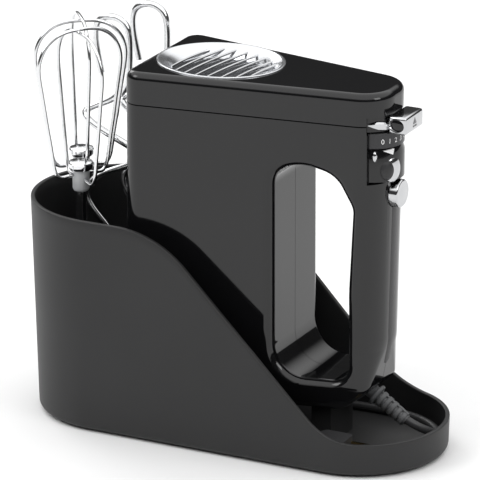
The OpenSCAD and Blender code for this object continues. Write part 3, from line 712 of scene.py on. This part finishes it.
# the satin strip down the back of the handle, pointed at its foot
strip = dict(top=160.5, foot=53, half=11.4, taper=14)
rows = []
for k in range(13):
    t = k / 12
    rows.append((strip["foot"] + strip["taper"] * t, strip["half"] * max(0.12, math.sqrt(t * (2 - t)))))
rows += [(strip["foot"] + strip["taper"] + 6 * k, strip["half"]) for k in range(1, 16)]
rows += [(strip["top"] - 0.3, strip["half"]), (strip["top"], strip["half"] - 0.3)]
grip = asPiece("gripCover", backPad(rows, 0.3, 1.2), "soft_grip", "mixer", ("grip_cover",))
carve(grip, buttonCutter())
soften(grip, 30, True)

# the plated button, a shallow dome with a rolled edge
r, face, roll, base, rim = (turbo[key] for key in ("r", "face", "roll", "base", "rim"))
profile = [(0, base), (2, base), (2, rim), (r - 0.3, rim), (r, rim + 0.3), (r, face - roll)]
for t in range(15, 91, 15):
    t = math.radians(t)
    profile.append((r - roll + roll * math.cos(t), face - roll + roll * math.sin(t)))
profile += [(r - 1.7, face - 0.15), (4, face + 0.15), (0, face + 0.3)]
button = turned(profile, (0, 0, turbo["z"]), (1, 0, 0), 72, closed=False)
asPiece("turboButton", button, "bright_chrome", "turbo", ("turbo_button",))

# the fixed band with the numbers, over the dial
r0, r1, low, high = dial["core"] + 0.1, dial["outer"] - 0.1, dial["high"] + 0.5, dial["ledge"] - 0.3
profile = [(r0, low), (r1 - 0.4, low), (r1, low + 0.4), (r1, high - 0.4), (r1 - 0.4, high), (r0, high)]
asPiece("speedBand", sector(profile, -80, 80, 48), "dark_plastic", "mixer", ("speed_scale",))

marks = dict(first=-47, step=14, count=7, size=3.9, z=184.3, thick=0.12)
digits = bmesh.new()
for k in range(marks["count"]):
    font = bpy.data.curves.new("digit", "FONT")
    font.body = str(k)
    font.size = marks["size"]
    font.align_x = "CENTER"
    font.extrude = marks["thick"]
    holder = bpy.data.objects.new("digit", font)
    scene.collection.objects.link(holder)
    flat = bpy.data.meshes.new_from_object(holder.evaluated_get(bpy.context.evaluated_depsgraph_get()))
    angle = math.radians(marks["first"] + marks["step"] * k)
    for v in flat.vertices:
        a = angle + v.co.x / r1
        reach = r1 + v.co.z + 0.02
        v.co = Vector((dial["x"] + reach * math.cos(a), reach * math.sin(a), marks["z"] + v.co.y)) * mm
    digits.from_mesh(flat)
    bpy.data.meshes.remove(flat)
    bpy.data.objects.remove(holder)
    bpy.data.curves.remove(font)
asPiece("speedNumbers", digits, "white_mark", "mixer", sharp=20)

# the dial: a drum with a bevelled top edge, a domed thumb rest and a white pointer
r0, r1, low, high = dial["core"] + 0.2, dial["outer"], dial["low"], dial["high"]
profile = [(r0, low), (r1 - 0.5, low), (r1, low + 0.5), (r1, high - 3.2), (r1 - 1.2, high), (r0, high)]
asPiece("selectorDrum", turned(profile, (dial["x"], 0, 0), (0, 0, 1), 96), "gloss_black", "selector",
        ("selector_dial",))


# a lens standing out of the drum at an angle and height
def lens(angle, z, wide, tall, rise):
    rings = 8
    around = 40
    stack = []
    for k in range(rings + 1):
        t = math.radians(90 * k / rings)
        ring = []
        for n in range(around):
            q = 2 * math.pi * n / around
            a = math.radians(angle) + wide * math.cos(t) * math.cos(q) / dial["outer"]
            reach = dial["outer"] - 0.6 + rise * math.sin(t)
            ring.append((dial["x"] + reach * math.cos(a), reach * math.sin(a),
                         z + tall * max(0.02, math.cos(t)) * math.sin(q)))
        stack.append(ring)
    return loft(stack)


# name, paint, (angle, height, half width, half height, rise) and the CAD part that it stands for
lenses = [("selectorThumb", "soft_grip", (-37, 168.8, 4.6, 5.8, 2.4), ()),
          ("selectorCrescent", "bright_chrome", (-25, 168.6, 6.4, 7.2, 1.7), ("selector_trim",)),
          # the wing is a painted highlight: a small plated leaf set where the lit end of the dial's slot
          # shines
          ("selectorWingHighlight", "bright_chrome", (-62, 177.2, 1.7, 3.3, 1.9), ())]
for name, look, shape, stands in lenses:
    asPiece(name, lens(*shape), look, "selector", stands)

# the white pointer, with its corners as (angle, height)
arrow = dict(corners=[(-45.5, 180.3), (-24, 180.9), (-26.5, 177.6)], sunk=1.6, proud=0.35)
pointer = bmesh.new()
for reach in (dial["outer"] - arrow["sunk"], dial["outer"] + arrow["proud"]):
    for angle, z in arrow["corners"]:
        t = math.radians(angle)
        pointer.verts.new(Vector((dial["x"] + reach * math.cos(t), reach * math.sin(t), z)) * mm)
v = list(pointer.verts)
for face in ((0, 1, 2), (5, 4, 3), (0, 3, 4, 1), (1, 4, 5, 2), (2, 5, 3, 0)):
    pointer.faces.new([v[k] for k in face])
pointer.verts.ensure_lookup_table()
bmesh.ops.recalc_face_normals(pointer, faces=pointer.faces)
asPiece("selectorPointer", pointer, "white_mark", "selector")
print("dial done")

# the plated eject lever: a band round the end of the casing and a tab with a thumb hollow
middle = backX(lever["level"]) - body["handleRadius"]
leverShape = bmesh.new()
for side in (-1, 1):
    stack = []
    for k in range(17):
        t = k / 16
        angle = math.radians(side * (lever["wrap"] - (lever["wrap"] - lever["start"]) * t))
        tall = 2.5 * min(1, 0.12 + 2.6 * t) * (1 - 0.12 * t)
        z = 195.6 - 2.4 * t
        stack.append([(middle + r * math.cos(angle), r * math.sin(angle), z + h * tall) for r, h in
                      ((lever["reach"] - 2.4, -1), (lever["reach"] - 0.7, -1), (lever["reach"], -0.75),
                       (lever["reach"] + 0.25, 0.6), (lever["reach"] - 0.5, 1), (lever["reach"] - 2.4, 1))])
    loft(stack, bm=leverShape)
asPiece("leverBand", leverShape, "bright_chrome", "lever", sharp=24)
r0, r1, low, high = lever["reach"] - 3.6, body["handleRadius"] + 0.4, lever["groove"][0] + 0.4, 199.6
profile = [(r0, low), (r1 - 0.3, low), (r1, low + 0.3), (r1, high - 0.3), (r1 - 0.3, high), (r0, high)]
asPiece("leverBack", sector(profile, -lever["wrap"] - 1, lever["wrap"] + 1, 48, middle=(middle, 0)),
        "gloss_black", "lever")
tab = softBox((lever["tail"], -lever["half"], lever["low"]), (lever["end"], lever["half"], lever["top"]),
              1.6, segments=5)
leverTab = asPiece("leverTab", tab, "bright_chrome", "lever", ("eject_lever",), sharp=30)

# the thumb hollows, one cut into each side of the tab, with a black lining
hollow = dict(x=101, z=195.3, cut=(4.9, 4.0, 4.0), out=1.2, lining=(4.75, 1.5, 3.85), sunk=1.9)


# an egg of a size, with its middle beside the middle plane
def egg(size, y, bm=None):
    bm = bm or bmesh.new()
    made = bmesh.ops.create_uvsphere(bm, u_segments=48, v_segments=24, radius=1)
    bmesh.ops.scale(bm, vec=Vector(size) * mm, verts=made["verts"])
    bmesh.ops.translate(bm, vec=Vector((hollow["x"], y, hollow["z"])) * mm, verts=made["verts"])
    return bm


linings = bmesh.new()
for side in (-1, 1):
    carve(leverTab, egg(hollow["cut"], side * (lever["half"] + hollow["out"])))
    egg(hollow["lining"], side * (lever["half"] - hollow["sunk"]), linings)
soften(leverTab, 30)
asPiece("leverHollows", linings, "gloss_black", "lever")

# the eject mark on the end of the tab, a triangle over a bar
mark = dict(triangle=[(-2.2, 194.6), (2.2, 194.6), (0, 198.2)], sunk=0.3, proud=0.12,
            bar=[(-2.2, 192.9), (2.2, 192.9), (2.2, 193.8), (-2.2, 193.8)])
marking = bmesh.new()
low, high = lever["end"] - mark["sunk"], lever["end"] + mark["proud"]
for shape in (mark["triangle"], mark["bar"]):
    slab([Vector(p) for p in shape], low, high, "YZ", bm=marking)
asPiece("leverMark", marking, "grey_mark", "lever")
print("lever done")


# the ribbed cord guard
relief = dict(start=(85, 0, 33), end=(103.8, 0, 20.5), flange=6.3, root=4.7, tip=4.1,
              neck=3.3, first=3.2, pitch=3.95, ribs=5)
axis = Vector(relief["end"]) - Vector(relief["start"])
long = axis.length
profile = [(2.5, -4), (4.2, -4), (4.2, -0.2), (relief["flange"] - 0.4, -0.2), (relief["flange"], 0.2),
           (relief["flange"], 1.3), (relief["flange"] - 0.5, 1.8), (4.2, 1.9)]
neck = relief["neck"]
for k in range(relief["ribs"]):
    base = relief["first"] + relief["pitch"] * k
    r = relief["root"] + (relief["tip"] - relief["root"]) * k / (relief["ribs"] - 1)
    profile += [(neck, base - 0.7), (neck, base), (r - 0.3, base), (r, base + 0.35), (r, base + 2.3),
                (r - 0.3, base + 2.65), (neck, base + 2.65)]
profile = [p for p in profile if p[1] < long - 0.2] + [(3.2, long), (2.5, long)]
grommet = turned(profile, relief["start"], axis, 40)
spines = softBox((-0.9, -4.4, 2.4), (0.9, -3.0, long - 0.8), 0.3)
softBox((-0.9, 3.0, 2.4), (0.9, 4.4, long - 0.8), 0.3, spines)
turn = Matrix.Translation(Vector(relief["start"]) * mm) @ axis.to_track_quat("Z", "Y").to_matrix().to_4x4()
bmesh.ops.transform(spines, matrix=turn, verts=spines.verts)
asPiece("cordGuard", grommet, "relief_grey", "mixer", ("strain_relief",))
asPiece("cordGuardSpines", spines, "relief_grey", "mixer")


# wire beaters, two loops each
loopHalf = [(3, -84), (8, -84.5), (14, -85.5), (17, -80), (18, -70), (21, -54), (23.5, -37), (25.5, -26),
            (26.5, -17), (22, -6.5), (12, 0), (0, 0.2)]
beaters = dict(top=226, wire=2.2, nest=2.4,
               front=dict(axis=(-89.5, -20), turn=56.5), rear=dict(axis=(-101, 2), turn=129.3))
upright = (0, 0, 1)
for name in ("front", "rear"):
    x, y = beaters[name]["axis"]
    top = beaters["top"]
    lines = []
    for k in (0, 1):
        t = math.radians(beaters[name]["turn"] + 90 * k)
        across = Vector((math.cos(t), math.sin(t), 0))
        crown = top - beaters["nest"] * k
        half = [Vector((x, y, crown + h)) + across * r for r, h in loopHalf]
        other = [Vector((x, y, crown + h)) - across * r for r, h in reversed(loopHalf[:-1])]
        lines.append(smoothLine(half + other, 6))
    ride = "beater_" + name
    tube(name + "BeaterWires", lines, beaters["wire"] / 2, "polished_steel", ride, (ride + "_wires",), 4)
    collar = [(2.95, top - 93.7), (4.1, top - 93.7), (4.7, top - 92.6), (4.8, top - 92.2), (4.8, top - 82),
              (4.4, top - 81.5), (2.95, top - 81.5)]
    asPiece(name + "BeaterCollar", turned(collar, (x, y, 0), upright), "collar_grey", ride,
            (ride + "_collar",))
    shaft = [(0, 40.4), (2.2, 40.4), (2.6, 41.2), (2.6, 60), (2.9, 110), (2.94, top - 93),
             (2.94, top - 81.5), (6, top - 81.4), (6.8, top - 80.6), (7.1, top - 79.4), (7.1, top - 77.6),
             (6.7, top - 77), (4.5, top - 76.3), (0, top - 76)]
    asPiece(name + "BeaterShaft", turned(shaft, (x, y, 0), upright, closed=False), "polished_steel", ride,
            (ride + "_shaft",))

# dough hooks
hookRoute = [
    (-7, 0, -33), (-9, 0, -24), (-11, 0, -12), (-10, 0, -2), (0, 0, 2), (10, 0, -2), (11.5, 0, -13),
    (11, 0, -28), (9, 2, -42), (-4, 4, -51), (-24, 0, -58), (-6, -4, -66), (10, -3, -72),
    (21, 0, -80), (8, 4, -88), (-9, 4, -94), (-20, 0, -103), (-14, -2, -114), (-4, 0, -124),
    (0, 0, -132), (0, 0, -142),
]
hooks = dict(near=dict(axis=(-92.6, 24), top=220.4), far=dict(axis=(-75, 36), top=227))
for name, hook in hooks.items():
    start = Vector((*hook["axis"], hook["top"]))
    line = smoothLine([start + Vector(step) for step in hookRoute], 6)
    ride = "hook_" + name
    tube(name + "HookRod", [line], 2, "polished_steel", ride, (ride + "_rod",), 5)
    top = hook["top"]
    shaft = [(0, 40.4), (2.2, 40.4), (2.9, 41.2), (2.95, top - 143), (4, top - 143), (4.4, top - 142.4),
             (4.4, top - 138.8), (3.9, top - 138), (2.1, top - 137.6), (0, top - 137.6)]
    asPiece(name + "HookShaft", turned(shaft, (*hook["axis"], 0), upright, closed=False), "polished_steel",
            ride, (ride + "_shaft",))
print("tools done")

# floor and soft light
floor = bpy.data.meshes.new("floor")
bm = bmesh.new()
bmesh.ops.create_grid(bm, x_segments=1, y_segments=1, size=12)
bm.to_mesh(floor)
bm.free()
ground = bpy.data.objects.new("floor", floor)
scene.collection.objects.link(ground)
pale = Paint("paleFloor")
tint = pale.tint(pale.noise(0.4), (0.84, 0.84, 0.84), (0.86, 0.86, 0.86))
floor.materials.append(pale.finish(Base_Color=tint, Roughness=0.75 + pale.noise(0.05) * 0.05))

scene.view_settings.view_transform = "Standard"

# a dark room with a broad white ceiling: the low part of the world stays dark, so plated and gloss
# faces that lean back show black, as they do in a studio
world = bpy.data.worlds.new("studio")
scene.world = world
world.use_nodes = True
tree = world.node_tree
backdrop = tree.nodes["Background"]
where = tree.nodes.new("ShaderNodeTexCoord")
split = tree.nodes.new("ShaderNodeSeparateXYZ")
rise = tree.nodes.new("ShaderNodeMapRange")
rise.interpolation_type = "SMOOTHSTEP"
for key, value in (("From Min", 0.36), ("From Max", 0.62), ("To Min", 0.06), ("To Max", 1.55)):
    rise.inputs[key].default_value = value
tree.links.new(where.outputs["Generated"], split.inputs[0])
tree.links.new(split.outputs["Z"], rise.inputs["Value"])
tree.links.new(rise.outputs[0], backdrop.inputs["Strength"])
backdrop.inputs["Color"].default_value = (1, 1, 1, 1)
lights = [("keyLight", (-1.5, -1.5, 2.0), 1.2, 16), ("sideLight", (2.2, -0.6, 1.5), 0.9, 9),
          ("rimLight", (-1.9, 1.2, 1.3), 1.0, 10)]
for name, where, size, power in lights:
    lamp = bpy.data.lights.new(name, "AREA")
    lamp.shape = "SQUARE"
    lamp.size = size
    lamp.energy = power
    thing = bpy.data.objects.new(name, lamp)
    thing.location = where
    thing.rotation_euler = (Vector((0, 0, 0.1)) - Vector(where)).to_track_quat("-Z", "Y").to_euler()
    scene.collection.objects.link(thing)
print("light done")
